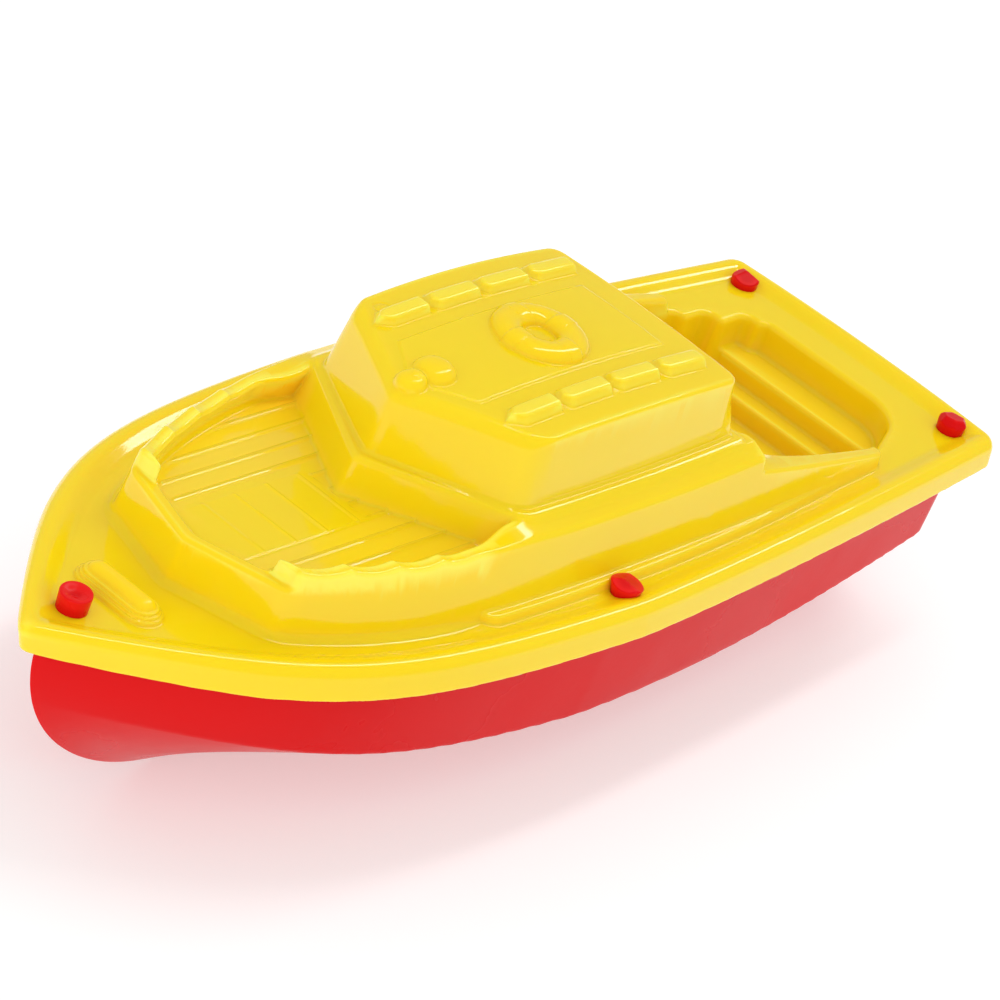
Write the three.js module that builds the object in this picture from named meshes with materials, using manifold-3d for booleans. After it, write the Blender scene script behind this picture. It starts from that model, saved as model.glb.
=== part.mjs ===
// A two-piece moulded toy motor boat: a yellow deck shell that caps a red V-bottomed hull shell.
// Millimetres. In this source x runs forward from a station just inside the stern, y to port, and
// z up from the rim of the deck.
// The group at the end moves the origin to the middle of the length, on the underside of the keel.

import * as THREE from "three";
import { mergeVertices } from "three/addons/utils/BufferGeometryUtils.js";
import Module from "manifold-3d";

const wasm = await Module();
wasm.setup();

// ---- driving dimensions -------------------------------------------------------------------------

const STERN = -2.3; // the deck's stern edge
const BOW = 163.6; // the deck's tip
const WIDEST = 82; // station of the widest breadth
const HALF_BEAM = 30.1; // at the rim, at the widest station
const STERN_NARROWING = 0.2; // share of the beam lost between the widest station and the stern
const STERN_CURVE = 1.35; // exponent of that narrowing: 1 would be straight
const BOW_SLOPE = 0.955; // breadth lost for each millimetre of length close to the tip
const BOW_BEND = 133.1; // station where the sides turn in towards the tip
const BEND_LENGTH = 21.5; // how gradual that turn is
const KEEL_DEPTH = 29.5; // rim of the deck down to the underside of the keel
const WALL = 1.4; // both mouldings
const GAP = 0.3; // clearance between the two mouldings

const SKIRT_DEPTH = 5; // the deck's edge hangs this far over the hull
const SKIRT_FLARE = 0.5;
const FLOOR = -1; // deck floor, a little below the rim
const RIM_WIDTH = 1.6;

const HULL_STERN = 1.1; // the hull's transom stands in from the deck's stern edge
const HULL_CORNER = 9; // radius of the transom's corners, seen from above
const HULL_HALF_BEAM = 26.6;
const HULL_BOW = 158; // where the stem meets the deck
const BILGE_DEPTH = 21;
const BILGE_HALF_BEAM = 24.2;
const KEEL_HALF_WIDTH = 3.5; // the flat under the keel that the boat rests on
const KEEL_START = 127; // the stem sweeps up forward of here
const STEM_ROUNDNESS = 1.8; // exponent of the stem's sweep: 2 would be an ellipse
const FLANGE_THICKNESS = 1.5;

const FOREDECK = 4.5; // floor between the bulwarks
const FOREDECK_LIP = 5.2;
const BULWARK_TOP = 8;
const BULWARK_THICKNESS = 1.8;
const CABIN_BASE = 9.7; // top of the lower tier
const ROOF_EDGE = 18.8;
const ROOF_CAMBER = 0.9;
const WELL_FLOOR = -11;
const BENCH = -5.5;
const STEP = -8.3;
const COAMING_TOP = 1.8;
const BENCH_FRONT = 12.9;
const STEP_FRONT = 16.4;
const WELL_FRONT = 51.5;

const FENDER_TAILS = [88.3, 78.7, 69.1, 59.5]; // after ends of the fenders on the roof
const FENDER_LENGTH = 8.6;
const FENDER_RADIUS = 1.4;
const FENDER_OUT = 10.7; // from the centre line
const RING_STATION = 79;
const RING_RADIUS = 4.4;
const RING_TUBE = 1.8;
const DOMES = [
  { station: 99, radius: 2.7 },
  { station: 103.3, radius: 1.8 },
];
const WINDLASS_STATION = 145.8;
const WINDLASS_RADIUS = 2.4;
const WINDLASS_LENGTH = 12.5;

const POST_RADIUS = 1.9;
const POST_HEAD_RADIUS = 2.2;
const POST_TOP = 1.4;
const POST_HEAD_DEPTH = 1; // the head starts to spread this far below its top
const POST_SITES = [
  [153.2, 0],
  [81.8, 25.8],
  [81.8, -25.8],
  [2.8, 18.8],
  [2.8, -18.8],
];

const OUTLINE_POINTS = 26; // from stern to bow along one side
const CORNER_POINTS = 4;
const ROUND = 24; // segments around a small round part

// ---- solids -------------------------------------------------------------------------------------

function solid(geometry) {
  const bare = geometry.clone();
  bare.deleteAttribute("normal");
  bare.deleteAttribute("uv");
  const merged = mergeVertices(bare, 1e-4);
  return new wasm.Manifold(
    new wasm.Mesh({
      numProp: 3,
      vertProperties: new Float32Array(merged.attributes.position.array),
      triVerts: new Uint32Array(merged.index.array),
    }),
  );
}

function geometryOf(body) {
  const mesh = body.getMesh();
  const geometry = new THREE.BufferGeometry();
  geometry.setAttribute("position", new THREE.BufferAttribute(mesh.vertProperties, 3));
  geometry.setIndex(new THREE.BufferAttribute(mesh.triVerts, 1));
  geometry.computeVertexNormals();
  return geometry;
}

// A body with level outlines stacked one above another. Each level is { z, side }, where side is the
// port half of the outline, from the stern to the point on the centre line at the bow.
function stack(levels) {
  const last = levels[0].side.length - 1;
  const pattern = new THREE.Shape();
  const bulge = (i) => 1 + (i * (last - i)) / (last * last);
  pattern.moveTo(0, -bulge(0));
  for (let i = 1; i < last; i++) pattern.lineTo(i, -bulge(i));
  pattern.lineTo(last, 0);
  for (let i = last - 1; i >= 0; i--) pattern.lineTo(i, bulge(i));
  const steps = levels.length - 1;
  const geometry = new THREE.ExtrudeGeometry(pattern, { depth: steps, steps, bevelEnabled: false });
  const at = geometry.attributes.position;
  for (let v = 0; v < at.count; v++) {
    const level = levels[Math.round(at.getZ(v))];
    const [x, y] = level.side[Math.round(at.getX(v))];
    at.setXYZ(v, x, y * Math.sign(Math.round(at.getY(v))), level.z);
  }
  return solid(geometry);
}

// ---- outlines -----------------------------------------------------------------------------------

// Breadth lost at a station forward of the widest one.
function bowFall(x) {
  const bend = (at) => (BOW_SLOPE / 2) * (at - BOW_BEND + Math.hypot(at - BOW_BEND, BEND_LENGTH));
  return bend(x) - bend(WIDEST);
}

// Half-breadth at a station of an outline with the deck's form, between its own stern and bow.
function breadthAt(x, { stern, bow, halfBeam }) {
  if (x < WIDEST) {
    const aft = (WIDEST - x) / (WIDEST - stern);
    return halfBeam * (1 - STERN_NARROWING * aft ** STERN_CURVE);
  }
  const fore = (x - WIDEST) / (bow - WIDEST);
  return halfBeam * (1 - bowFall(WIDEST + fore * (BOW - WIDEST)) / bowFall(BOW));
}

// One side of a boat-shaped outline with rounded stern corners.
function boatSide({ stern, bow, halfBeam, corner }) {
  const side = [];
  const breadth = (x) => breadthAt(x, { stern, bow, halfBeam });
  for (let i = 0; i < CORNER_POINTS; i++) {
    const turn = ((Math.PI / 2) * i) / CORNER_POINTS;
    const x = stern + corner * (1 - Math.cos(turn));
    side.push([x, breadth(x) - corner * (1 - Math.sin(turn))]);
  }
  for (let i = 0; i <= OUTLINE_POINTS; i++) {
    const x = stern + corner + ((bow - stern - corner) * i) / OUTLINE_POINTS;
    side.push([x, Math.max(breadth(x), 0)]);
  }
  side[side.length - 1][1] = 0;
  return side;
}

// The deck's own outline, moved in from the rim by inset.
function deckSide(inset) {
  return boatSide({
    stern: STERN + inset,
    bow: BOW - 1.3 * inset,
    halfBeam: HALF_BEAM - inset,
    corner: Math.max(3.5 - inset / 2, 1),
  });
}

// Moves a side in towards the middle of the boat: every breadth, the stern end and the bow end.
function inset(side, by) {
  const last = side.length - 1;
  return side.map(([x, y], i) => {
    const forward = i === 0 ? by : 0;
    const back = i >= last - 1 ? by : 0;
    return [x + forward - back, i === last ? 0 : y - by];
  });
}

// ---- hull ---------------------------------------------------------------------------------------

// Outline of the hull at a height, moved in by the wall where inside is true.
function hullLevel(z, inside) {
  const wall = inside ? WALL : 0;
  const keel = -KEEL_DEPTH + wall;
  const depth = Math.min((-SKIRT_DEPTH - z) / (KEEL_DEPTH - wall - SKIRT_DEPTH), 1);
  const reach = HULL_BOW - wall - KEEL_START;
  const sweep = depth > 0 ? (1 - depth ** STEM_ROUNDNESS) ** (1 / STEM_ROUNDNESS) : 1;
  const bilge = -BILGE_DEPTH;
  const low = (z - keel) / (bilge - keel);
  const high = (z - bilge) / -bilge;
  const keelHalf = KEEL_HALF_WIDTH - wall / 2;
  const halfBeam =
    z < bilge
      ? THREE.MathUtils.lerp(keelHalf, BILGE_HALF_BEAM - wall, low)
      : THREE.MathUtils.lerp(BILGE_HALF_BEAM, HULL_HALF_BEAM, Math.sqrt(high)) - wall;
  return {
    z,
    side: boatSide({
      stern: HULL_STERN + wall,
      bow: KEEL_START + reach * sweep,
      halfBeam,
      corner: (HULL_CORNER * halfBeam) / HULL_HALF_BEAM,
    }),
  };
}

function hullHeights(lowest, highest) {
  const shares = [0, 0.03, 0.08, 0.16, 0.26, 0.36, 0.4, 0.46, 0.56, 0.7, 0.85, 1];
  return shares.map((share) => THREE.MathUtils.lerp(lowest, highest, share));
}

function post([x, y], foot) {
  const head = POST_TOP - POST_HEAD_DEPTH;
  const profile = [
    [0, foot],
    [POST_RADIUS, foot],
    [POST_RADIUS, FLOOR + GAP],
    [POST_HEAD_RADIUS, head],
    [POST_HEAD_RADIUS - 0.2, POST_TOP - 0.3],
    [POST_HEAD_RADIUS - 0.8, POST_TOP],
    [0, POST_TOP - 0.4],
  ].map(([radius, height]) => new THREE.Vector2(radius, height));
  const geometry = new THREE.LatheGeometry(profile, ROUND);
  geometry.rotateX(Math.PI / 2);
  geometry.translate(x, y, 0);
  return solid(geometry);
}

// The plate around the top of the hull that carries the posts and fills the deck's skirt.
function flange(bottom, top) {
  const rim = deckSide(WALL + GAP);
  const opening = boatSide({ stern: 3.2, bow: 147, halfBeam: 23.6, corner: 8 });
  const plate = stack([{ z: bottom, side: rim }, { z: top, side: rim }]);
  return plate.subtract(stack([{ z: bottom - 1, side: opening }, { z: top + 1, side: opening }]));
}

function hullShell() {
  const flangeTop = FLOOR - WALL - GAP;
  const flangeBottom = flangeTop - FLANGE_THICKNESS;
  const outer = stack(hullHeights(-KEEL_DEPTH, flangeTop).map((z) => hullLevel(z, false)));
  const inner = stack(hullHeights(-KEEL_DEPTH + WALL, flangeTop + 1).map((z) => hullLevel(z, true)));
  const shell = outer.subtract(inner).add(flange(flangeBottom, flangeTop));
  return POST_SITES.reduce((hull, site) => hull.add(post(site, flangeTop - FLANGE_THICKNESS / 4)), shell);
}

// ---- deck: main masses --------------------------------------------------------------------------

const trunkFoot = [
  [51, 21.8],
  [75, 23],
  [95, 22.7],
  [108, 22],
  [118, 20.4],
  [127, 17.4],
  [136, 12.6],
  [139.2, 0],
];
const trunkTop = [
  [52, 20.8],
  [75, 21.4],
  [95, 20.9],
  [106, 20.1],
  [115, 18.9],
  [124, 16.6],
  [132.8, 13.4],
  [136.2, 0],
];
const tierFoot = [
  [51, 22.4],
  [75, 23.2],
  [98.5, 21.4],
  [102, 18],
  [111, 0],
];
const tierTop = [
  [52, 20.6],
  [75, 21.4],
  [98, 20.4],
  [101, 18.2],
  [108.8, 0],
];
const cabinFoot = [
  [52.5, 16.6],
  [75, 17.3],
  [97.3, 17],
  [107.2, 0],
];
const cabinTop = [
  [57.4, 15.8],
  [75, 16.4],
  [96.2, 15.9],
  [105.6, 0],
];
const roofCrown = [
  [59.5, 8],
  [75, 8.6],
  [93.5, 8.2],
  [103.5, 0],
];

// A tapering block from its levels, [z, side], drawn in by shrink and lowered by it at both ends.
function mass(levels, shrink) {
  const middle = (i) => i > 0 && i < levels.length - 1;
  return stack(levels.map(([z, side], i) => ({ z: middle(i) ? z : z - shrink, side: inset(side, shrink) })));
}

// The deck's solid form. shrink = 0 gives the outside, and shrink = WALL the space under the moulding.
function masses(shrink) {
  const trunkHeight = shrink ? FOREDECK : BULWARK_TOP;
  const trunk = mass([[FLOOR - 0.5, trunkFoot], [trunkHeight, trunkTop]], shrink);
  const tier = mass([[FLOOR - 0.5, tierFoot], [CABIN_BASE, tierTop]], shrink);
  const cabin = mass(
    [[CABIN_BASE - 1, cabinFoot], [ROOF_EDGE, cabinTop], [ROOF_EDGE + ROOF_CAMBER, roofCrown]],
    shrink,
  );
  return { trunk, tier, cabin };
}

function deckPlate() {
  const rim = stack([
    { z: -SKIRT_DEPTH, side: deckSide(-SKIRT_FLARE) },
    { z: -1.4, side: deckSide(0) },
    { z: -0.4, side: deckSide(0.3) },
    { z: 0, side: deckSide(1) },
  ]);
  const recess = stack([
    { z: FLOOR, side: deckSide(RIM_WIDTH + 1.2) },
    { z: 0.1, side: deckSide(RIM_WIDTH) },
  ]);
  const under = stack([
    { z: -SKIRT_DEPTH - 1, side: deckSide(WALL) },
    { z: FLOOR - WALL, side: deckSide(WALL) },
  ]);
  return rim.subtract(recess).subtract(under);
}

// ---- deck: foredeck and cockpit -----------------------------------------------------------------

function block(x0, x1, halfWidth, z0, z1) {
  const geometry = new THREE.BoxGeometry(x1 - x0, 2 * halfWidth, z1 - z0);
  geometry.translate((x0 + x1) / 2, 0, (z0 + z1) / 2);
  return solid(geometry);
}

// What is taken out between the bulwarks, and in front of them down to the lip.
function foredeckCuts() {
  const pocket = stack([
    { z: FOREDECK, side: inset(trunkTop, BULWARK_THICKNESS + 0.6) },
    { z: BULWARK_TOP + 1, side: inset(trunkTop, BULWARK_THICKNESS) },
  ]);
  return pocket.add(block(131.5, 142, 20, FOREDECK_LIP, BULWARK_TOP + 1));
}

const wellRim = [
  [7.4, 11],
  [12, 14.6],
  [20, 18.6],
  [36, 16.5],
  [WELL_FRONT - 1.5, 15],
  [WELL_FRONT, 0],
];

// The well as a volume: a bench across the stern, a low step in front of it, then the floor.
function cockpitWell(grow) {
  const grown = inset(wellRim, -grow);
  const top = grow ? FLOOR - WALL / 2 : COAMING_TOP + 1;
  const plan = stack([{ z: WELL_FLOOR - grow, side: grown }, { z: top, side: grown }]);
  const terraces = [[0, BENCH], [BENCH_FRONT, STEP], [STEP_FRONT, WELL_FLOOR]];
  const volumes = terraces.map(([x, z]) => block(x - grow, WELL_FRONT + 5, HALF_BEAM, z - grow, top));
  return plan.intersect(volumes.reduce((all, each) => all.add(each)));
}

function coaming(side) {
  const plan = new THREE.Shape();
  plan.moveTo(20, side * 22);
  plan.lineTo(21, side * 19.4);
  plan.lineTo(36, side * 16.6);
  plan.lineTo(52, side * 15.1);
  plan.lineTo(52, side * 18.5);
  plan.lineTo(40, side * 19.2);
  plan.lineTo(24, side * 22.4);
  const depth = COAMING_TOP - FLOOR + 0.5;
  const geometry = new THREE.ExtrudeGeometry(plan, { depth, bevelEnabled: false });
  geometry.translate(0, 0, FLOOR - 0.5);
  return solid(geometry);
}

// ---- deck: fittings -----------------------------------------------------------------------------

function capsule(x, y, z, radius, length, axis) {
  const geometry = new THREE.CapsuleGeometry(radius, length - 2 * radius, 4, 10);
  if (axis === "x") geometry.rotateZ(Math.PI / 2);
  geometry.translate(x, y, z);
  return solid(geometry);
}

function dome(x, radius, z) {
  const geometry = new THREE.SphereGeometry(radius, 16, 10);
  geometry.scale(1, 1, 0.8);
  geometry.translate(x, 0, z);
  return solid(geometry);
}

function fittings() {
  const roof = ROOF_EDGE + ROOF_CAMBER;
  const parts = [];
  for (const tail of FENDER_TAILS) {
    const middle = tail + FENDER_LENGTH / 2;
    for (const side of [-1, 1]) {
      parts.push(capsule(middle, side * FENDER_OUT, roof - 0.6, FENDER_RADIUS, FENDER_LENGTH, "x"));
    }
  }
  const ring = new THREE.TorusGeometry(RING_RADIUS, RING_TUBE, 10, ROUND);
  ring.translate(RING_STATION, 0, roof - 0.4);
  parts.push(solid(ring));
  for (const { station, radius } of DOMES) parts.push(dome(station, radius, roof - 0.7));
  const windlass = capsule(WINDLASS_STATION, 0, FLOOR + 0.4, WINDLASS_RADIUS, WINDLASS_LENGTH, "y");
  parts.push(windlass.intersect(block(140, 150, HALF_BEAM, FLOOR - 0.5, 10)));
  return parts;
}

// The narrow ledge at the foot of the superstructure and the coamings.
function ledge() {
  const side = [
    [19.5, 18.5],
    [23, 21.2],
    [40, 22.4],
    [60, 23.8],
    [76, 24.3],
    [95, 24],
    [104, 22.9],
    [107, 21],
    [108, 0],
  ];
  return stack([{ z: FLOOR - 0.5, side }, { z: FLOOR + 1.2, side: inset(side, 0.3) }]);
}

// The hole for a post, with room above the floor for the post's head.
function postHole([x, y]) {
  const profile = [
    [0, FLOOR - WALL - 1],
    [POST_RADIUS + GAP, FLOOR - WALL - 1],
    [POST_RADIUS + GAP, FLOOR],
    [POST_HEAD_RADIUS + GAP, FLOOR + 0.05],
    [POST_HEAD_RADIUS + GAP, POST_TOP + 1],
    [0, POST_TOP + 1],
  ].map(([radius, height]) => new THREE.Vector2(radius, height));
  const geometry = new THREE.LatheGeometry(profile, ROUND);
  geometry.rotateX(Math.PI / 2);
  geometry.translate(x, y, 0);
  return solid(geometry);
}

function deckShell() {
  const outside = masses(0);
  const inside = masses(WALL);
  let deck = outside.trunk.subtract(foredeckCuts());
  deck = deck.add(outside.tier).add(outside.cabin).add(deckPlate()).add(ledge());
  for (const side of [-1, 1]) deck = deck.add(coaming(side));
  for (const fitting of fittings()) deck = deck.add(fitting);
  const headroom = inside.trunk.add(inside.tier).add(inside.cabin);
  const wellOutside = cockpitWell(WALL);
  deck = deck.subtract(headroom.subtract(wellOutside));
  const opening = cockpitWell(0).subtract(outside.cabin).subtract(outside.tier);
  deck = deck.add(wellOutside).subtract(opening);
  return POST_SITES.reduce((pierced, site) => pierced.subtract(postHole(site)), deck);
}

// ---- assembly -----------------------------------------------------------------------------------

function piece(name, body, material) {
  const mesh = new THREE.Mesh(geometryOf(body), material);
  mesh.name = name;
  return mesh;
}

const yellowPlastic = new THREE.MeshStandardMaterial({ color: "#f6d21f", roughness: 0.22, metalness: 0 });
const redPlastic = new THREE.MeshStandardMaterial({ color: "#e32b28", roughness: 0.35, metalness: 0 });

const boat = new THREE.Group();
boat.add(piece("hull_shell", hullShell(), redPlastic));
boat.add(piece("deck_shell", deckShell(), yellowPlastic));
boat.position.set(-(STERN + BOW) / 2, 0, KEEL_DEPTH);

export default boat;
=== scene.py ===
"""A moulded toy motor boat: a glossy yellow deck shell on a red V-bottomed hull, fixed by five red posts.

Shapes are given in millimetres in the boat's own axes: x forward from a station just inside the stern,
y to port, z up from the rim of the deck. Finished meshes are moved into the frame of the CAD model, in
metres. The deck and the posts are signed distance fields, negative inside, that are turned into meshes on
a fine grid; the hull is built from rows of points round its outline.
"""

import functools
import math

import bmesh
import bpy
import numpy as np
from mathutils import Matrix, Vector


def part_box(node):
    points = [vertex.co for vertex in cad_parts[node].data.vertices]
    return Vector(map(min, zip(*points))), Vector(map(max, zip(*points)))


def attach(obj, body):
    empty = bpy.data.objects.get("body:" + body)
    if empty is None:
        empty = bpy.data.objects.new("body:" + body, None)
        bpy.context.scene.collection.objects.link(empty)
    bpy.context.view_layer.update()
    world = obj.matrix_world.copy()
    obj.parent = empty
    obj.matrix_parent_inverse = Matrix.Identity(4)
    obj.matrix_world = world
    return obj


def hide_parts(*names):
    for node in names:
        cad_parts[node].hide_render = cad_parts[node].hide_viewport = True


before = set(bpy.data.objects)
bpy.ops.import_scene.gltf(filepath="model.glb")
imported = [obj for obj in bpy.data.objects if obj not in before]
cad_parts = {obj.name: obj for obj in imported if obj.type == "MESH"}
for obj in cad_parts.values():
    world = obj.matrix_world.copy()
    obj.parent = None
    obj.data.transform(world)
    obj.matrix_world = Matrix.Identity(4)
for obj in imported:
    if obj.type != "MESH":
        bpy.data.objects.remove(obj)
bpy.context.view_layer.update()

# ---- driving dimensions, millimetres --------------------------------------------------------------

STERN = -2.45           # the deck's stern edge on the centre line
STERN_BOW = 0.7         # how far that edge curves forward towards the quarters
QUARTER = 2.2           # radius of the quarters
BOW = 163.9
NOSE = 0.9              # roundness of the tip, seen from above
WIDEST = 82.0
HALF_BEAM = 30.2
STERN_NARROWING = 0.205
STERN_CURVE = 1.35      # exponent of that narrowing
BOW_SLOPE = 0.955       # breadth lost for each millimetre of length close to the tip
BOW_BEND = 133.1        # station where the sides turn in towards the tip
BEND_LENGTH = 21.5      # how gradual that turn is
KEEL_DEPTH = 29.5
WALL = 1.4
GAP = 0.3

SKIRT_DEPTH = 4.45      # at its deepest, a little forward of the middle
SKIRT_RISE = 0.35       # how much higher its lower edge is at the stern and the bow
SKIRT_DEEPEST = 95.0
SKIRT_FLARE = 0.5
RAKE_START = 140.0
BOW_RAKE = 1.6          # how far the skirt leans in under the tip
FLOOR = -1.0
LEDGE = 0.2

FOREDECK = 4.6
FOREDECK_LIP = 5.4
BULWARK_TOP = 8.0
BULWARK_THICKNESS = 2.0
TRUNK_TOP_HALF = 21.4
SHOULDER_AFT = 51.3
SHOULDER_SLOPE = 0.45
TIER_TOP = 9.7
ROOF_EDGE = 19.35
ROOF_SHEER = 0.7        # how much lower the roof's edge is at its two ends
ROOF_MIDDLE = 78.0
ROOF_CROWN = 0.5

BENCH = -5.5
STEP = -8.3
WELL_FLOOR = -11.0
BENCH_FRONT = 12.9
STEP_FRONT = 16.4
WELL_AFT = 7.4
WELL_FRONT = 51.9
WELL_DRAFT = 0.11       # how much the well widens for each millimetre of height

FENDER_TAIL = 60.0      # after end of the aftmost fender
FENDER_PITCH = 9.6
FENDER_COUNT = 4
FENDER_OUT = 11.2       # from the centre line
RING_CENTRE = (79.0, 0.0)
RING_RADIUS = 4.3
RING_TUBE = 2.1
DOMES = ((98.8, 2.75, 1.6), (102.9, 2.0, 1.45))
WINDLASS = (145.8, -0.3)

POST_RADIUS = 1.9
POST_SITES = {
    "bow": (153.2, -0.8),
    "mid_port": (81.8, 25.8),
    "mid_starboard": (81.8, -25.8),
    "stern_port": (2.8, 18.6),
    "stern_starboard": (2.8, -18.9),
}

DECK_STEP = 0.27        # grid spacing of the deck's field
DECK_FACES = 190000     # the deck's mesh is thinned to this many triangles
POST_STEP = 0.12
POST_ROOM = 3.6         # half the width of the grid round a post
POST_ROOM_ABOVE = 3.2

MM = 0.001
CAD_STERN = -2.8        # the after end of the CAD deck's skirt
deck_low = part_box("deck_shell")[0]
hull_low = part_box("hull_shell")[0]
ORIGIN = np.array([deck_low.x - CAD_STERN * MM, 0, hull_low.z + KEEL_DEPTH * MM])


# ---- distance fields ------------------------------------------------------------------------------

def round_max(a, b, radius):
    """Where both fields hold, with the edge between them rounded to a radius."""
    corner = np.sqrt(np.maximum(a + radius, 0) ** 2 + np.maximum(b + radius, 0) ** 2)
    return np.minimum(np.maximum(a, b), -radius) + corner


def round_min(a, b, radius):
    """Where either field holds, with the inside corner between them filled to a radius."""
    return -round_max(-a, -b, radius)


def smooth_step(low, high, value):
    t = np.clip((value - low) / (high - low), 0, 1)
    return t * t * (3 - 2 * t)


def soft_abs(y, roundness):
    return np.sqrt(y * y + roundness * roundness)


def line(x, y, start, end):
    """Signed distance to a line through two points, positive to port of the way from start to end."""
    along = np.subtract(end, start)
    along = along / np.hypot(*along)
    return (y - start[1]) * along[0] - (x - start[0]) * along[1]


def bowed_side(x, y, widest, half, aft_reach, fore_reach=None, power=2.0):
    """Distance to a side whose half-breadth falls off aft and forward of its widest station."""
    aft = np.clip(widest - x, 0, None) / aft_reach
    fore = np.clip(x - widest, 0, None) / (fore_reach or aft_reach)
    slope = half * (2 * aft / aft_reach + power * fore ** (power - 1) / (fore_reach or aft_reach))
    return (np.abs(y) - half * (1 - aft * aft - fore ** power)) / np.sqrt(1 + slope * slope)


def under_surface(x, y, z, height):
    """Distance to a surface whose height is a function of the plan position, allowing for its slope."""
    reach = 0.1
    along = (height(x + reach, y) - height(x - reach, y)) / (2 * reach)
    across = (height(x, y + reach) - height(x, y - reach)) / (2 * reach)
    return (z - height(x, y)) / np.sqrt(1 + along * along + across * across)


def taper(foot, top, z, low, high):
    """A side that changes evenly from one outline at a low level to another at a high one."""
    t = np.clip((z - low) / (high - low), -0.5, 1.5)
    return foot + (top - foot) * t


def bow_fall(x):
    """Breadth that the deck loses between its widest station and one forward of it."""
    def bend(at):
        return BOW_SLOPE / 2 * (at - BOW_BEND + np.hypot(at - BOW_BEND, BEND_LENGTH))
    return bend(x) - bend(WIDEST)


def breadth_share(x, stern, bow):
    """Half-breadth as a share of the half-beam, for an outline with the deck's form."""
    aft = np.clip((WIDEST - x) / (WIDEST - stern), 0, None)
    fore = np.clip((x - WIDEST) / (bow - WIDEST), 0, None)
    like_deck = WIDEST + fore * (BOW - WIDEST)
    return 1 - STERN_NARROWING * aft ** STERN_CURVE - bow_fall(like_deck) / bow_fall(BOW)


def deck_plan(x, y):
    reach = 0.1
    breadth = HALF_BEAM * breadth_share(x, STERN, BOW)
    ahead = HALF_BEAM * breadth_share(x + reach, STERN, BOW)
    slope = (ahead - breadth) / reach
    side = (soft_abs(y, NOSE) - breadth) / np.sqrt(1 + slope * slope)
    return round_max(side, STERN + STERN_BOW * (y / 20) ** 2 - x, QUARTER)


# ---- deck: the large forms --------------------------------------------------------------------------

def skirt_edge(x):
    """Height of the skirt's lower edge, which is slightly uneven."""
    share = np.abs(x - SKIRT_DEEPEST) / 75
    waves = 0.035 * np.sin(1.3 * x) * np.sin(0.37 * x + 1)
    return -SKIRT_DEPTH + SKIRT_RISE * share ** 2 + waves


def plate(x, y, z):
    """The deck's rim and floor, with the skirt's side."""
    plan = deck_plan(x, y)
    lean = SKIRT_FLARE - (BOW_RAKE + SKIRT_FLARE) * np.clip((x - RAKE_START) / (BOW - RAKE_START), 0, 1)
    flare = lean * np.clip(-z / SKIRT_DEPTH, 0, 1)
    surface = FLOOR * smooth_step(1.6, 4.6, -plan)
    return round_max(plan - flare, z - surface, 1.5)


def ledge(x, y, z):
    """The low step along the foot of the superstructure and the coamings."""
    side = bowed_side(x, y, 80, 24.1, 136, 158) - 0.3 * (LEDGE - z)
    plan = round_max(side, np.abs(x - 62.8) - 42.8, 2.5)
    return round_max(plan, z - LEDGE, 0.35)


def trunk_outlines(x, y):
    """The foot and the top of the long trunk that carries the foredeck and the cabin."""
    port = soft_abs(y, 0.5)
    front_foot = line(x, port, (134.8, 12.2), (138.7, 0))
    front_top = line(x, port, (132.9, 13.2), (137.4, 0))
    foot = round_max(bowed_side(x, y, 78, 23.1, 180, 71.8, 3.73), front_foot, 1.0)
    top = round_max(bowed_side(x, y, 78, TRUNK_TOP_HALF, 180, 76.4, 2.96), front_top, 0.8)
    return foot, top


def planking(x, y, inset):
    """Height added to the foredeck by its planks: fore and aft at the sides, across in the middle."""
    pitch, first, width = 3.15, 5.6, 0.22
    across = (y - first) / pitch
    off = np.abs(across - np.round(across)) * pitch
    planks = 0.22 * (across - np.floor(across) - 0.5) + 0.16 * np.exp(-((off / width) ** 2))
    hatch_pitch, hatch_first = 5.6, 123.5
    along = (x - hatch_first) / hatch_pitch
    off_hatch = np.abs(along - np.round(along)) * hatch_pitch
    hatch = 0.05 + 0.09 * np.exp(-((off_hatch / width) ** 2))
    in_hatch = smooth_step(5.5, 5.2, np.abs(y - 0.4)) * smooth_step(110.5, 111, x)
    return (planks * (1 - in_hatch) + hatch * in_hatch) * smooth_step(2.2, 3.0, inset)


def scallops(x):
    """How far the bulwark's top dips between its points."""
    pitch, first, depth = 6.6, 132.4, 0.55
    turn = (first - x) / pitch
    share = turn - np.floor(turn)
    return depth * 4 * share * (1 - share) * smooth_step(104, 113, x) * smooth_step(first + 1, first, x)


def foredeck_floor(x, y, z, top):
    lip = FOREDECK_LIP - (FOREDECK_LIP - FOREDECK) * smooth_step(1.2, 2.2, -top)
    return z - lip - planking(x, y, -top)


def shoulder_height(x, y):
    """The shoulders fall outwards beside the cabin and level off where the bulwarks begin."""
    rise = SHOULDER_SLOPE * np.clip(TRUNK_TOP_HALF - np.abs(y), 0, 3)
    return BULWARK_TOP + rise * smooth_step(104, 95, x)


def coaming_height(x, y):
    """The coamings climb towards the cabin, more steeply along their inner edge."""
    climb = 3.9 * np.clip((x - 44) / 10, 0, 1) ** 2
    height = 0.9 + 0.178 * (x - 21) + climb * smooth_step(21.0, 17.4, np.abs(y))
    return np.minimum(height, BULWARK_TOP + 0.4)


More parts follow.
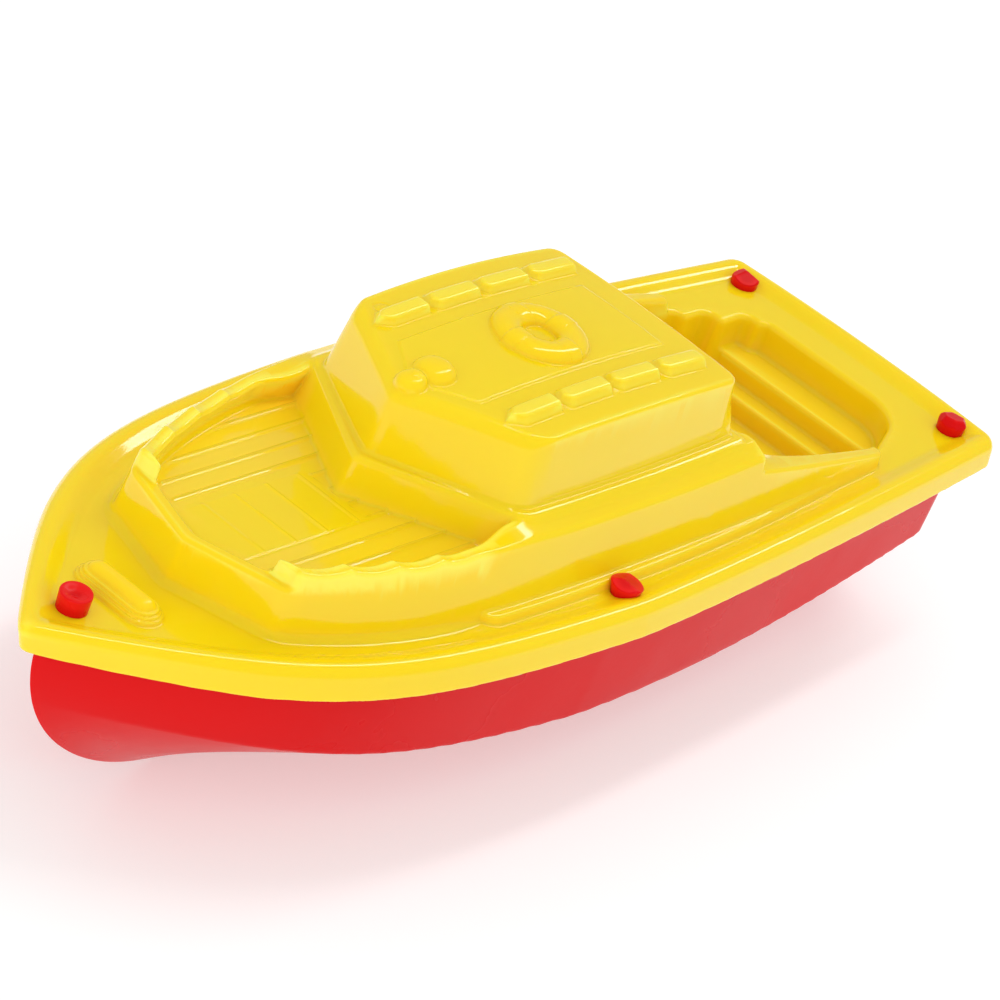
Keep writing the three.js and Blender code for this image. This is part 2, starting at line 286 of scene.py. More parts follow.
def superstructure(x, y, z):
    """Trunk, bulwarks, shoulders and coamings, which share one outer wall on each side."""
    foot, top = trunk_outlines(x, y)
    side = taper(foot, top, z, FLOOR - 0.5, BULWARK_TOP)
    foredeck = np.maximum(foredeck_floor(x, y, z, top), 53.4 - x)
    thickness = BULWARK_THICKNESS + 1.7 * smooth_step(107, 99.5, x)
    level = under_surface(x, y, z, shoulder_height)
    bulwark = round_max(-side - thickness, level + scallops(x), 0.7)
    bulwark = round_max(bulwark, x - 132.8 + 0.2 * (z - FOREDECK_LIP), 0.7)
    bulwark = np.maximum(bulwark, 53.4 - x)
    behind_tier = taper(*tier_front(x, y), z, FOREDECK, TIER_TOP) + 0.4
    shoulder = round_max(level, np.maximum(behind_tier, SHOULDER_AFT - x), 0.4)
    coaming = np.maximum(under_surface(x, y, z, coaming_height), x - 54.5)
    tops = round_min(foredeck, np.minimum(bulwark, shoulder), 0.5)
    tops = round_min(tops, coaming, 0.4)
    end = 20.6 - x + 0.9 * np.clip(np.abs(y) - 19.5, 0, None)
    return round_max(round_max(side, tops, 0.5), end, 0.8)


def tier_front(x, y):
    port = soft_abs(y, 0.5)
    return line(x, port, (100.0, 16.8), (110.6, 0)), line(x, port, (97.5, 18.0), (109.3, 0))


def tier(x, y, z):
    """The block between the foredeck's level and the foot of the cabin."""
    front = taper(*tier_front(x, y), z, FOREDECK, TIER_TOP)
    side = (bowed_side(x, y, 80, 18.55, 135) - 0.9 * np.clip(TIER_TOP - z, 0, 1)) / 1.2
    plan = round_max(round_max(side, front, 0.9), 53.2 - x, 0.5)
    return round_max(plan, z - TIER_TOP, 0.4 + 0.3 * smooth_step(96, 99, x))


def roof_height(x, y):
    """Upper surface of the roof, with its raised panel and a round mark that an ejector pin left."""
    sheer = ROOF_SHEER * ((x - ROOF_MIDDLE) / 19) ** 2
    crown = ROOF_CROWN * (1 - np.clip(np.abs(y) / 16, 0, 1) ** 2)
    panel = np.maximum(np.abs(y) - 7.0, line(x, np.abs(y), (97.8, 6.9), (103.0, 0)))
    panel = np.maximum(panel, 62.2 - x)
    mark = np.abs(np.hypot(x - 93.6, y + 13.4) - 1.1)
    relief = 0.22 * smooth_step(0.22, -0.22, panel) - 0.1 * np.exp(-((mark / 0.2) ** 2))
    return ROOF_EDGE - sheer + crown + relief


def cabin(x, y, z):
    port = soft_abs(y, 0.8)
    foot = round_max(bowed_side(x, y, 80, 17.4, 130), line(x, port, (97.4, 17.2), (107.5, 0)), 2.0)
    top = round_max(bowed_side(x, y, 78, 16.65, 118), line(x, port, (96.2, 16.2), (105.9, 0)), 2.2)
    foot, top = round_max(foot, 54.4 - x, 0.9), round_max(top, 56.9 - x, 1.6)
    side = taper(foot, top, z, TIER_TOP, ROOF_EDGE)
    edge = 0.5 + 1.1 * smooth_step(93.5, 97, x)
    return round_max(side, z - roof_height(x, y), edge)


# ---- deck: the cockpit ------------------------------------------------------------------------------

def well_plan(x, y):
    """The cockpit seen from above. Its starboard after corner steps in twice; the port one is plain."""
    starboard = round_max(-y - 10.8, WELL_AFT - x, 1.2)
    for start, half in ((8.6, 13.5), (13.9, 16.4), (18.8, 18.2)):
        starboard = round_min(starboard, round_max(-y - half, start - x, 1.7), 0.8)
    port = round_max(line(x, y, (8.3, 13.2), (18.8, 17.7)), WELL_AFT - x, 4.5)
    port = round_max(port, y - 18.2, 1.2)
    plan = np.where(y > 0, port, starboard)
    plan = round_max(plan, -line(x, np.abs(y), (53, 15.8), (44, 18.2)), 2.0)
    return round_max(plan, x - WELL_FRONT, 1.0)


def well(x, y, z):
    """The cockpit's volume: a bench across the stern, a low step in front of it, then the floor."""
    sides = well_plan(x, y) - WELL_DRAFT * (np.minimum(z, 1) - FLOOR)
    bench = round_max(z - BENCH, x - BENCH_FRONT + 0.1 * (z - BENCH), 0.45)
    step = round_max(z - STEP, x - STEP_FRONT + 0.1 * (z - STEP), 0.45)
    ground = round_min(round_min(bench, step, 0.5), z - WELL_FLOOR, 0.5)
    return round_max(sides, -ground, 0.7)


# ---- deck: fittings ---------------------------------------------------------------------------------

def fenders(x, y, z):
    """Four fenders in a row along each edge of the roof: bevelled bars, pointed in front, square behind."""
    index = np.clip(np.floor((x - FENDER_TAIL + 0.3) / FENDER_PITCH), 0, FENDER_COUNT - 1)
    along = x - FENDER_TAIL - index * FENDER_PITCH
    out = np.abs(np.abs(y) - FENDER_OUT)
    height = z - roof_height(x, np.full_like(y, FENDER_OUT))
    bevel = (out + 0.65 * height - 1.75) / 1.19
    body = np.maximum(round_max(bevel, height - 1.15, 0.35), -1 - height)
    point = np.where(index == FENDER_COUNT - 1, 1.3, 0.7)
    nose = (along - 9.0 + point * out + 0.8 * height) / np.sqrt(1.64 + point * point)
    return round_max(round_max(body, nose, 0.3), -along, 0.3)


def life_ring(x, y, z):
    """A flattened ring lying on the roof with four bands round it."""
    ahead, aside = x - RING_CENTRE[0], y - RING_CENTRE[1]
    band = 0.16 * smooth_step(1.15, 0.95, np.minimum(np.abs(ahead), np.abs(aside)))
    height = (z - roof_height(x, y) - 0.1) * 1.55
    return np.hypot(np.hypot(ahead, aside) - RING_RADIUS, height) - RING_TUBE - band


def dome(x, y, z, station, radius, rise):
    """A low dome with a flattened crown."""
    height = (z - roof_height(x, y)) * radius / rise
    ball = np.sqrt((x - station) ** 2 + y * y + height * height) - radius
    return round_max(ball, (height / radius - 0.9) * rise, 0.3)


def windlass(x, y, z):
    """A bar with a rounded back across the bow, stepped round its foot."""
    plan = np.hypot(x - WINDLASS[0], np.clip(np.abs(y - WINDLASS[1]) - 3.6, 0, None)) - 2.75
    body = round_max((plan + 1.0 + 0.45 * z) / 1.1, z - 1.25, 0.8)
    for inset, top in ((0.0, -0.45), (0.38, -0.05), (0.7, 0.35)):
        body = np.minimum(body, round_max(plan + inset, z - top, 0.18))
    return body


def post_holes(x, y):
    distances = [np.hypot(x - px, y - py) for px, py in POST_SITES.values()]
    return np.minimum.reduce(distances) - POST_RADIUS + 0.25


def deck_skin(x, y, z, detailed=True):
    """Everything under the deck's outer surface, as if it were solid."""
    skin = round_min(plate(x, y, z), ledge(x, y, z), 0.3)
    skin = round_min(skin, superstructure(x, y, z), 0.4 + 0.8 * smooth_step(104, 112, x))
    skin = round_min(skin, tier(x, y, z), 0.35)
    skin = round_min(skin, cabin(x, y, z), 0.5)
    if detailed:
        skin = round_min(skin, windlass(x, y, z), 0.25)
        skin = round_min(skin, fenders(x, y, z), 0.2)
        skin = round_min(skin, life_ring(x, y, z), 0.25)
        domes = [dome(x, y, z, *each) for each in DOMES]
        skin = round_min(skin, round_min(*domes, 0.3), 0.25)
    return round_max(skin, -well(x, y, z), 0.8)


def deck_shell(x, y, z):
    """The deck as a moulding of even thickness, open underneath."""
    hollow = deck_skin(x, y, z, detailed=False) + WALL
    shell = np.maximum(deck_skin(x, y, z), -hollow)
    below_skirt = np.minimum(skirt_edge(x) - z, well_plan(x, y) - WALL - 1)
    shell = round_max(shell, below_skirt, 0.3)
    return round_max(shell, -post_holes(x, y), 0.2)


# ---- hull -------------------------------------------------------------------------------------------

HULL_STERN = 0.5
HULL_BOW = 158.6
HULL_HALF_BEAM = 26.9
HULL_CORNER = 4.5
BILGE_DEPTH = 21.0
BILGE_HALF_BEAM = 25.1
BILGE_RADIUS = 6.0
KEEL_HALF_WIDTH = 3.5
KEEL_START = 127.0
STEM_ROUNDNESS = 1.8
FLANGE_TOP = FLOOR - WALL - GAP
FLANGE_THICKNESS = 0.8
TRANSOM_RAKE = 0.8
FORE_RISE = 7.5         # how much the bilge lifts from here to the bow
FORE_RISE_START = 55.0
AFT_RISE = 5.0          # and to the transom
AFT_RISE_START = 55.0
HULL_LEVELS = 110
HULL_CORNER_POINTS = 24
HULL_SIDE_POINTS = 220


def hull_breadth(x, z, wall):
    """Half-breadth, stern and bow of the hull at a height, inside its wall when wall is above 0."""
    keel, bilge = -KEEL_DEPTH + wall, -BILGE_DEPTH
    depth = np.clip((-SKIRT_DEPTH - z) / (KEEL_DEPTH - wall - SKIRT_DEPTH), 0, 1)
    sweep = (1 - depth ** STEM_ROUNDNESS) ** (1 / STEM_ROUNDNESS)
    stern = HULL_STERN + wall + TRANSOM_RAKE * depth
    bow = KEEL_START + (HULL_BOW - wall - KEEL_START) * sweep
    flare = math.sqrt(np.clip(1 + z / BILGE_DEPTH, 0, 1))
    side = BILGE_HALF_BEAM + (HULL_HALF_BEAM - BILGE_HALF_BEAM) * flare
    lift = FORE_RISE * np.clip((x - FORE_RISE_START) / (HULL_BOW - FORE_RISE_START), 0, 1) ** 1.5
    lift = lift + AFT_RISE * np.clip((AFT_RISE_START - x) / AFT_RISE_START, 0, 1) ** 1.5
    rise = (z - keel) / (bilge + lift - keel)
    keel_half = KEEL_HALF_WIDTH - wall / 2
    bottom = keel_half + (BILGE_HALF_BEAM - wall - keel_half) * rise
    half_beam = np.maximum(-round_max(wall - side, -bottom, BILGE_RADIUS), keel_half)
    return half_beam * breadth_share(x, stern, bow), stern, bow


def hull_side(z, wall):
    """Port side of the hull's outline at a height, from the transom round to the stem."""
    _, stern, bow = hull_breadth(np.array([60.0]), z, wall)
    quarter_breadth = hull_breadth(np.array([30.0]), z, wall)[0][0]
    corner = HULL_CORNER * np.clip(quarter_breadth / HULL_HALF_BEAM, 0.12, 1)
    turn = np.linspace(0, math.pi / 2, HULL_CORNER_POINTS, endpoint=False)
    share = np.linspace(0, 1, HULL_SIDE_POINTS)
    ahead = stern + corner + (bow - stern - corner) * np.sin(share * math.pi / 2) ** 1.2
    x = np.concatenate([stern + corner * (1 - np.cos(turn)), ahead])
    y = hull_breadth(x, z, wall)[0]
    y[:HULL_CORNER_POINTS] -= corner * (1 - np.sin(turn))
    return np.stack([x, np.maximum(y, 0), np.full_like(x, z)], axis=1)


def flange_side(z):
    """Port side of the flange that fills the deck's skirt, with the same number of points as the hull."""
    count = HULL_CORNER_POINTS + HULL_SIDE_POINTS
    inset, corner = WALL + GAP, 2.0
    stern, bow = STERN + STERN_BOW + inset, BOW - 3.0 - inset
    share = np.linspace(0, 1, count)
    x = stern + (bow - stern) * (1 - np.cos(share * math.pi)) / 2
    y = HALF_BEAM * breadth_share(x, STERN, BOW) - inset
    near = np.clip((x - stern) / corner, 0, 1)
    y -= corner * (1 - np.sqrt(1 - (1 - near) ** 2))
    y *= np.sqrt(np.clip((bow - x) / 4.0, 0, 1))
    return np.stack([x, np.maximum(y, 0), np.full_like(x, z)], axis=1)


def hull_sock():
    """The hull's port half as rows of points: up the outside, round the flange and down the inside."""
    share = np.linspace(0, 1, HULL_LEVELS)
    flange_low = FLANGE_TOP - FLANGE_THICKNESS
    outside = -KEEL_DEPTH + (flange_low + KEEL_DEPTH) * share ** 2
    inside = -KEEL_DEPTH + WALL + (FLANGE_TOP + KEEL_DEPTH - WALL) * share[::-2] ** 2
    rows = [hull_side(z, 0.0) for z in outside]
    rows += [flange_side(flange_low), flange_side(FLANGE_TOP)]
    rows += [hull_side(z, WALL) for z in inside]
    return np.array(rows)


# ---- posts ------------------------------------------------------------------------------------------

def cone(x, y, z, radius, flare, low):
    """Distance to an upright side that widens by flare for each millimetre above low."""
    return (np.hypot(x, y) - radius - flare * (z - low)) / math.sqrt(1 + flare * flare)


def cut(x, y, z, toward, lean, distance):
    """Distance past a plane whose normal leans from upright by lean degrees, toward a bearing."""
    bearing, tilt = math.radians(toward), math.radians(lean)
    across = math.sin(tilt) * (math.cos(bearing) * x + math.sin(bearing) * y)
    return across + math.cos(tilt) * z - distance


def bow_post(x, y, z):
    """A straight post with a dished top."""
    body = round_max(cone(x, y, z, 1.95, 0.04, FLOOR), cut(x, y, z, 30, 5, 1.4), 0.2)
    dish = np.sqrt((x - 0.15) ** 2 + y * y + (z - 3.3) ** 2) - 2.35
    return round_max(body, -dish, 0.25)


def mid_post(x, y, z):
    """A post whose end is spread like a rivet, with a blunt point and two nicks."""
    body = cone(x, y, z, 1.75, 0.28, FLOOR)
    for toward, lean, distance in ((150, 14, 0.95), (20, 24, 1.3), (260, 20, 1.25), (60, 66, 2.2)):
        body = round_max(body, cut(x, y, z, toward, lean, distance), 0.13)
    return body


def stern_port_post(x, y, z):
    """A post melted to a low, faceted dome."""
    body = cone(x, y, z, 1.85, 0.1, FLOOR)
    for turn in range(6):
        body = round_max(body, cut(x, y, z, 60 * turn + 12, 52 + 5 * (turn % 2), 1.75), 0.16)
    return round_max(body, cut(x, y, z, 200, 9, 1.1), 0.18)


def stern_starboard_post(x, y, z):
    """A shorter post with a lopsided top."""
    body = cone(x, y, z, 1.85, 0.08, FLOOR)
    for toward, lean, distance in ((40, 22, 0.7), (170, 34, 0.95), (290, 30, 0.95), (100, 60, 1.8)):
        body = round_max(body, cut(x, y, z, toward, lean, distance), 0.16)
    return body


def mid_starboard_post(x, y, z):
    """Like the port one, but lower and turned another way."""
    return np.maximum(mid_post(-y, x, z + 0.3), -3 - z)


POST_FORMS = {
    "bow": bow_post,
    "mid_port": mid_post,
    "mid_starboard": mid_starboard_post,
    "stern_port": stern_port_post,
    "stern_starboard": stern_starboard_post,
}


# ---- meshes from fields -----------------------------------------------------------------------------

def surface_net(values, origin, step):
    """Points and quads of the surface where gridded values change sign."""
    inside = values < 0
    shape = np.array(values.shape) - 1
    count = np.zeros(shape, np.int8)
    corners = [(i, j, k) for i in (0, 1) for j in (0, 1) for k in (0, 1)]
    for i, j, k in corners:
        count += inside[i:i + shape[0], j:j + shape[1], k:k + shape[2]]
    cells = np.argwhere((count > 0) & (count < 8))
    index = np.full(shape, -1, np.int64)
    index[tuple(cells.T)] = np.arange(len(cells))
    total, hits = np.zeros((len(cells), 3)), np.zeros(len(cells))
    for corner in corners:
        for axis in range(3):
            if corner[axis]:
                continue
            other = list(corner)
            other[axis] = 1
            a = values[tuple((cells + corner).T)]
            b = values[tuple((cells + other).T)]
            crossed = (a < 0) != (b < 0)
            share = np.where(crossed, a / np.where(crossed, a - b, 1), 0)
            point = np.array(corner) + share[:, None] * (np.array(other) - corner)
            total += np.where(crossed[:, None], point, 0)
            hits += crossed
    points = origin + step * (cells + total / hits[:, None])
    return points, np.concatenate([net_quads(inside, index, axis) for axis in range(3)])


def net_quads(inside, index, axis):
    """The quads round every grid edge along one axis that crosses the surface."""
    u, v = (axis + 1) % 3, (axis + 2) % 3
    low, high = [slice(None)] * 3, [slice(None)] * 3
    low[axis], high[axis] = slice(0, -1), slice(1, None)
    edges = np.argwhere(inside[tuple(low)] != inside[tuple(high)])
    size = np.array(inside.shape) - 1
    keep = (edges[:, u] > 0) & (edges[:, v] > 0) & (edges[:, u] < size[u]) & (edges[:, v] < size[v])
    edges = edges[keep]
    ring = []
    for du, dv in ((1, 1), (0, 1), (0, 0), (1, 0)):
        cell = edges.copy()
        cell[:, u] -= du
        cell[:, v] -= dv
        ring.append(index[tuple(cell.T)])
    quads = np.stack(ring, axis=1)
    flip = ~inside[tuple(edges.T)]
    quads[flip] = quads[flip][:, ::-1]
    return quads


def gradient(field, points, reach=0.03):
    """Value and gradient of a field at points, from four samples round each."""
    value = np.zeros(len(points))
    slope = np.zeros_like(points)
    for sign in ((1, 1, 1), (1, -1, -1), (-1, 1, -1), (-1, -1, 1)):
        sample = field(*(points + reach * np.array(sign)).T)
        value += sample / 4
        slope += sample[:, None] * np.array(sign) / (4 * reach)
    return value, slope


def onto_surface(field, points, step):
    for _ in range(3):
        value, slope = gradient(field, points)
        size = np.maximum((slope * slope).sum(axis=1), 0.25)
        move = slope * (value / size)[:, None]
        length = np.linalg.norm(move, axis=1, keepdims=True)
        points = points - move * np.minimum(1, step / np.maximum(length, 1e-9))
    return points


def sampled(field, axes, step, coarse=4):
    """Values of a field on a grid: exact near its surface, and taken from a coarser grid elsewhere."""
    rough_axes = [np.append(axis[::coarse], axis[-1]) for axis in axes]
    rough = np.broadcast_arrays(field(*np.ix_(*rough_axes)))[0].astype(np.float32)
    nearest = []
    for axis in axes:
        place = (np.arange(len(axis)) + coarse // 2) // coarse
        nearest.append(np.minimum(place, len(axis) // coarse))
    grid = rough[np.ix_(*nearest)]
    reach = 1.6 * coarse * step
    near = np.nonzero(np.abs(grid) < reach)
    grid[near] = field(*(axis[place] for axis, place in zip(axes, near)))
    return grid


def mesh_from_field(name, field, low, high, step):
    """A closed mesh of a field's surface, in millimetres."""
    axes = [np.arange(a, b + step, step, dtype=np.float32) for a, b in zip(low, high)]
    grid = sampled(field, axes, step)
    points, quads = surface_net(grid, np.array([axis[0] for axis in axes], float), step)
    points = onto_surface(field, points, step)
    mesh = bpy.data.meshes.new(name)
    mesh.vertices.add(len(points))
    mesh.vertices.foreach_set("co", points.astype(np.float32).ravel())
    mesh.loops.add(4 * len(quads))
    mesh.loops.foreach_set("vertex_index", quads.astype(np.int32).ravel())
    mesh.polygons.add(len(quads))
    mesh.polygons.foreach_set("loop_start", np.arange(0, 4 * len(quads), 4, dtype=np.int32))
    mesh.update(calc_edges=True)
    mesh.validate()
    piece = bpy.data.objects.new(name, mesh)
    bpy.context.scene.collection.objects.link(piece)
    return piece


def thin_out(piece, faces):
    """Merges faces where the surface is flattest, down to a number of triangles."""
    triangles = sum(len(p.vertices) - 2 for p in piece.data.polygons)
    if triangles <= faces:
        return
    modifier = piece.modifiers.new("thin_out", "DECIMATE")
    modifier.ratio = faces / triangles
    graph = bpy.context.evaluated_depsgraph_get()
    mesh = bpy.data.meshes.new_from_object(piece.evaluated_get(graph), depsgraph=graph)
    piece.modifiers.clear()
    piece.data = mesh


def vertices_of(piece):
    points = np.empty(len(piece.data.vertices) * 3, np.float32)
    piece.data.vertices.foreach_get("co", points)
    return points.reshape(-1, 3).astype(float)


def finish_piece(piece, field, skin, material, offset=(0, 0, 0)):
    """Shades a piece from its field, notes the surface's thinness and how far it lies in a hollow for the
    painted edge glow and painted hollow light, and puts it in the frame.
    """
    points = vertices_of(piece)
    normals = gradient(field, points)[1]
    normals /= np.maximum(np.linalg.norm(normals, axis=1, keepdims=True), 1e-9)
    for name, reach in (("thinness", -1.6), ("hollow", 3.5)):
        value = skin(*(points + reach * normals).T)
        share = np.clip(1 - value / reach, 0, 1)
        attribute = piece.data.attributes.new(name, "FLOAT", "POINT")
        attribute.data.foreach_set("value", share.astype(np.float32))
    place = ORIGIN + MM * np.array(offset)
    piece.data.vertices.foreach_set("co", (points * MM + place).astype(np.float32).ravel())
    piece.data.update()
    piece.data.shade_smooth()
    piece.data.normals_split_custom_set_from_vertices(normals)
    piece.data.materials.append(material)
    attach(piece, "root")


# ---- materials --------------------------------------------------------------------------------------

class Nodes:
    """A short way to write a material's node tree."""

    def __init__(self, name):
        self.material = bpy.data.materials.new(name)
        self.material.use_nodes = True
        self.tree = self.material.node_tree
        self.shader = self.tree.nodes["Principled BSDF"]

    def add(self, kind, inputs=None, **settings):
        node = self.tree.nodes.new(kind)
        for key, value in settings.items():
            setattr(node, key, value)
        for key, value in (inputs or {}).items():
            self.set(node.inputs[key], value)
        return node

    def set(self, socket, value):
        if isinstance(value, bpy.types.NodeSocket):
            self.tree.links.new(value, socket)
        else:
            socket.default_value = value

    def attribute(self, name):
        return self.add("ShaderNodeAttribute", attribute_name=name).outputs["Fac"]

    def noise(self, scale, detail=2.0, roughness=0.5):
        place = self.add("ShaderNodeTexCoord").outputs["Object"]
        inputs = {"Vector": place, "Scale": scale, "Detail": detail, "Roughness": roughness}
        return self.add("ShaderNodeTexNoise", inputs).outputs["Fac"]

    def range(self, value, low, high, to_low=0.0, to_high=1.0):
        inputs = {"Value": value, "From Min": low, "From Max": high, "To Min": to_low, "To Max": to_high}
        return self.add("ShaderNodeMapRange", inputs, interpolation_type="SMOOTHSTEP").outputs["Result"]

    def mix(self, share, first, second):
        node = self.add("ShaderNodeMix", data_type="RGBA")
        self.set(node.inputs["Factor"], share)
        self.set(node.inputs[6], first)
        self.set(node.inputs[7], second)
        return node.outputs[2]

    def specks(self, scale, share):
        """Small round specks, one in some cells of a Voronoi pattern."""
        place = self.add("ShaderNodeTexCoord").outputs["Object"]
        cells = self.add("ShaderNodeTexVoronoi", {"Vector": place, "Scale": scale})
        near = self.range(cells.outputs["Distance"], 0.10, 0.03)
        chosen = self.math("GREATER_THAN", cells.outputs["Color"], 1 - share)
        return self.math("MULTIPLY", near, chosen)

    def math(self, operation, first, second):
        return self.add("ShaderNodeMath", {0: first, 1: second}, operation=operation).outputs[0]

    def bump(self, strength, distance, height):
        """Waves or grain that only turn the shading, over the surface's own shape."""
        return self.add("ShaderNodeBump", {"Strength": strength, "Distance": distance, "Height": height})


def linear(red, green, blue):
    """A colour given in sRGB, 0 to 255, as linear values."""
    shares = [value / 255 for value in (red, green, blue)]
    return tuple(s / 12.92 if s <= 0.04045 else ((s + 0.055) / 1.055) ** 2.4 for s in shares) + (1.0,)


def yellow_plastic():
    """Glossy polyethylene, with a painted glow along its edges and painted light that makes its hollows a
    paler yellow.
    """
    nodes = Nodes("yellow_plastic")
    # the first colour is the plastic's own yellow; the second is painted light for hollows, the third a
    # painted glow for edges
    body, painted_hollow_light, light = linear(247, 211, 15), linear(254, 212, 40), linear(246, 235, 84)
    # painted light in hollows: where the surface is enclosed, it is mixed towards a paler yellow
    hollow = nodes.range(nodes.attribute("hollow"), 0.25, 0.8)
    # painted edge glow: near convex edges the yellow is mixed towards a pale green-yellow
    painted_edge_glow_mask = nodes.range(nodes.attribute("thinness"), 0.25, 0.85)
    colour = nodes.mix(hollow, body, painted_hollow_light)
    colour = nodes.mix(painted_edge_glow_mask, colour, light)
    drift = nodes.range(nodes.noise(22.0, 2.0), 0.35, 0.7)
    colour = nodes.mix(nodes.range(drift, 0, 1, 0.0, 0.12), colour, linear(255, 222, 40))
    colour = nodes.mix(nodes.specks(260.0, 0.02), colour, linear(120, 84, 10))
    shader = nodes.shader
    nodes.set(shader.inputs["Base Color"], colour)
    nodes.set(shader.inputs["Roughness"], nodes.range(nodes.noise(45.0, 3.0), 0.3, 0.75, 0.07, 0.12))
    nodes.set(shader.inputs["IOR"], 1.51)
    nodes.set(shader.inputs["Specular IOR Level"], 0.42)
    nodes.set(shader.inputs["Subsurface Weight"], 0.35)
    nodes.set(shader.inputs["Subsurface Radius"], (1.0, 0.62, 0.06))
    nodes.set(shader.inputs["Subsurface Scale"], 0.003)
    waves = nodes.bump(0.12, 0.6 * MM, nodes.noise(110.0, 1.5))
    nodes.set(shader.inputs["Normal"], waves.outputs["Normal"])
    return nodes.material


def red_plastic():
    """Softer-gloss red polyethylene with fine dust and short scuffs."""
    nodes = Nodes("red_plastic")
    drift = nodes.range(nodes.noise(16.0, 2.0), 0.35, 0.7)
    colour = nodes.mix(drift, linear(210, 7, 10), linear(216, 13, 15))
    # painted edge glow: near edges the red is mixed towards a lighter red
    painted_edge_glow_mask = nodes.range(nodes.attribute("thinness"), 0.2, 0.8)
    colour = nodes.mix(painted_edge_glow_mask, colour, linear(226, 26, 24))
    colour = nodes.mix(nodes.specks(330.0, 0.03), colour, linear(244, 150, 140))
    colour = nodes.mix(nodes.specks(210.0, 0.012), colour, linear(110, 8, 14))
    shader = nodes.shader
    nodes.set(shader.inputs["Base Color"], colour)
    nodes.set(shader.inputs["Roughness"], nodes.range(nodes.noise(60.0, 4.0), 0.3, 0.75, 0.24, 0.36))
    nodes.set(shader.inputs["IOR"], 1.5)
    nodes.set(shader.inputs["Specular IOR Level"], 0.1)
    nodes.set(shader.inputs["Subsurface Weight"], 0.15)
    nodes.set(shader.inputs["Subsurface Radius"], (1.0, 0.12, 0.08))
    nodes.set(shader.inputs["Subsurface Scale"], 0.002)
    grain = nodes.bump(0.05, 0.2 * MM, nodes.noise(900.0, 3.0))
    waves = nodes.bump(0.1, 0.8 * MM, nodes.noise(60.0, 1.5))
    nodes.set(waves.inputs["Normal"], grain.outputs["Normal"])
    nodes.set(shader.inputs["Normal"], waves.outputs["Normal"])
    return nodes.material


# ---- pieces -----------------------------------------------------------------------------------------

def make_deck(material):
    step = DECK_STEP
    low = (STERN - 2, -HALF_BEAM - 2, WELL_FLOOR - WALL - 1.5)
    high = (BOW + 2, HALF_BEAM + 2, ROOF_EDGE + 4)
    piece = mesh_from_field("deck", deck_shell, low, high, step)
    thin_out(piece, DECK_FACES)
    finish_piece(piece, deck_shell, deck_skin, material)
    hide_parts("deck_shell")


def make_hull(material):
    """Joins the port rows to their mirror image, with the keel's flat and the inner bottom as strips."""
    rows = hull_sock()
    levels, count, _ = rows.shape
    points = np.concatenate([rows, rows[:, ::-1] * (1, -1, 1)], axis=1)
    around = 2 * count
    level, spot = np.meshgrid(np.arange(levels - 1), np.arange(around), indexing="ij")
    following = (spot + 1) % around
    here, above = level * around, (level + 1) * around
    corners = [here + spot, here + following, above + following, above + spot]
    walls = np.stack(corners, axis=-1).reshape(-1, 4)
    spot = np.arange(count - 1)
    across = np.stack([spot, spot + 1, around - 2 - spot, around - 1 - spot], axis=-1)
    top = across + (levels - 1) * around
    quads = np.concatenate([walls[:, ::-1], across, top[:, ::-1]])
    points = points.reshape(-1, 3) * MM + ORIGIN
    mesh = bpy.data.meshes.new("hull")
    mesh.from_pydata(points.tolist(), [], quads.tolist())
    piece = bpy.data.objects.new("hull", mesh)
    bpy.context.scene.collection.objects.link(piece)
    work = bmesh.new()
    work.from_mesh(mesh)
    bmesh.ops.remove_doubles(work, verts=work.verts, dist=0.02 * MM)
    bmesh.ops.dissolve_degenerate(work, edges=work.edges, dist=0.01 * MM)
    bmesh.ops.recalc_face_normals(work, faces=work.faces)
    work.to_mesh(mesh)
    work.free()
    mesh.shade_smooth()
    mesh.materials.append(material)
    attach(piece, "root")
    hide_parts("hull_shell")


def rooted(form, x, y, z):
    """A post's form, cut off just inside the flange that it stands on."""
    return np.maximum(form(x, y, z), FLANGE_TOP - 0.3 - z)


def make_posts(material):
    low = (-POST_ROOM, -POST_ROOM, -POST_ROOM)
    high = (POST_ROOM, POST_ROOM, POST_ROOM_ABOVE)
    for name, form in POST_FORMS.items():
        field = functools.partial(rooted, form)
        piece = mesh_from_field("post_" + name, field, low, high, POST_STEP)
        finish_piece(piece, field, field, material, (*POST_SITES[name], 0))


# ---- camera, light and floor ------------------------------------------------------------------------

CAMERA_ANGLES = (121.3, 29.46, 20.3)    # azimuth, elevation and roll, degrees
CAMERA_TARGET = (77.05, 1.7, -4.1)
CAMERA_DISTANCE = 674
FOCAL_LENGTH = 194.1


def make_camera():
    """Off the boat's port bow and above it, rolled so that the boat heads down the picture."""
    azimuth, elevation, roll = (math.radians(angle) for angle in CAMERA_ANGLES)
    target = Vector(ORIGIN) + Vector(CAMERA_TARGET) * MM
    level = math.cos(elevation)
    toward = Vector((math.sin(azimuth) * level, -math.cos(azimuth) * level, math.sin(elevation)))
    data = bpy.data.cameras.new("camera")
    data.lens = FOCAL_LENGTH
    data.sensor_width = 36
    data.clip_start = 0.01
    data.clip_end = 50
    camera = bpy.data.objects.new("camera", data)
    turn = toward.to_track_quat("Z", "Y").to_matrix() @ Matrix.Rotation(roll, 3, "Z")
    camera.matrix_world = Matrix.Translation(target + toward * CAMERA_DISTANCE * MM) @ turn.to_4x4()
    bpy.context.scene.collection.objects.link(camera)
    bpy.context.scene.camera = camera


ROOM_LIGHT = 0.80
ROOM_REFLECTED = 0.42   # a dimmer room in the gloss keeps the colours full


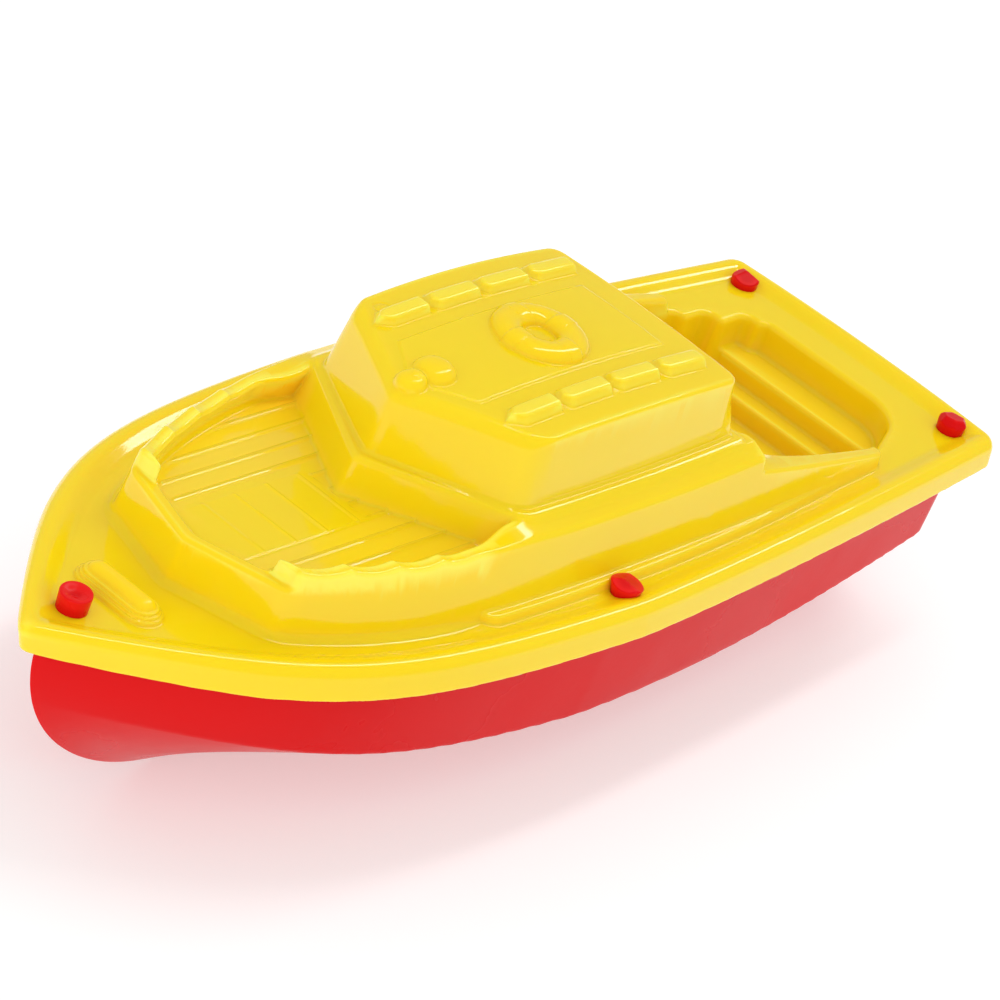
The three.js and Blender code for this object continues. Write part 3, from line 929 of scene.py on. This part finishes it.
def softbox(name, toward, distance, size, watts, reflected):
    """A rectangular light that faces the boat from a direction, in metres."""
    data = bpy.data.lights.new(name, "AREA")
    data.shape = "RECTANGLE"
    data.size, data.size_y = size
    data.energy = watts
    lamp = bpy.data.objects.new(name, data)
    direction = Vector(toward).normalized()
    place = Vector((0, 0, 0.025)) + direction * distance
    turn = direction.to_track_quat("Z", "Y").to_matrix()
    lamp.matrix_world = Matrix.Translation(place) @ turn.to_4x4()
    lamp.visible_glossy = reflected
    bpy.context.scene.collection.objects.link(lamp)


def make_light():
    """A strip light that draws lines along the edges, two fills, and a bright room all round."""
    softbox("overhead", (-0.48, -0.02, 0.87), 1.0, (0.10, 1.0), 2.8, reflected=True)
    softbox("bow_fill", (0.95, 0.15, 0.30), 1.2, (0.9, 0.7), 3.5, reflected=False)
    softbox("port_fill", (0.1, 1.0, 0.3), 1.4, (1.2, 0.6), 1.5, reflected=False)
    world = bpy.data.worlds.new("studio")
    world.use_nodes = True
    tree = world.node_tree
    background = tree.nodes["Background"]
    background.inputs["Color"].default_value = (1, 1, 1, 1)
    seen = tree.nodes.new("ShaderNodeLightPath")
    strength = tree.nodes.new("ShaderNodeMapRange")
    strength.inputs["To Min"].default_value = ROOM_LIGHT
    strength.inputs["To Max"].default_value = ROOM_REFLECTED
    tree.links.new(seen.outputs["Is Glossy Ray"], strength.inputs["Value"])
    tree.links.new(strength.outputs["Result"], background.inputs["Strength"])
    bpy.context.scene.world = world
    bpy.context.scene.view_settings.view_transform = "Standard"


def make_floor():
    """White paper, lit a little from behind so that the boat's shadow stays faint."""
    half = 4.0
    mesh = bpy.data.meshes.new("floor")
    corners = [(-half, -half, 0), (half, -half, 0), (half, half, 0), (-half, half, 0)]
    mesh.from_pydata(corners, [], [(0, 1, 2, 3)])
    floor = bpy.data.objects.new("floor", mesh)
    bpy.context.scene.collection.objects.link(floor)
    nodes = Nodes("paper")
    patches = nodes.range(nodes.noise(3.0), 0.3, 0.7)
    tone = nodes.mix(patches, (0.62, 0.62, 0.62, 1), (0.64, 0.64, 0.64, 1))
    nodes.set(nodes.shader.inputs["Base Color"], tone)
    nodes.set(nodes.shader.inputs["Roughness"], 0.9)
    nodes.set(nodes.shader.inputs["Emission Color"], (1, 1, 1, 1))
    nodes.set(nodes.shader.inputs["Emission Strength"], 0.42)
    mesh.materials.append(nodes.material)


yellow = yellow_plastic()
red = red_plastic()
make_deck(yellow)
make_hull(red)
make_posts(red)
make_floor()
make_camera()
make_light()
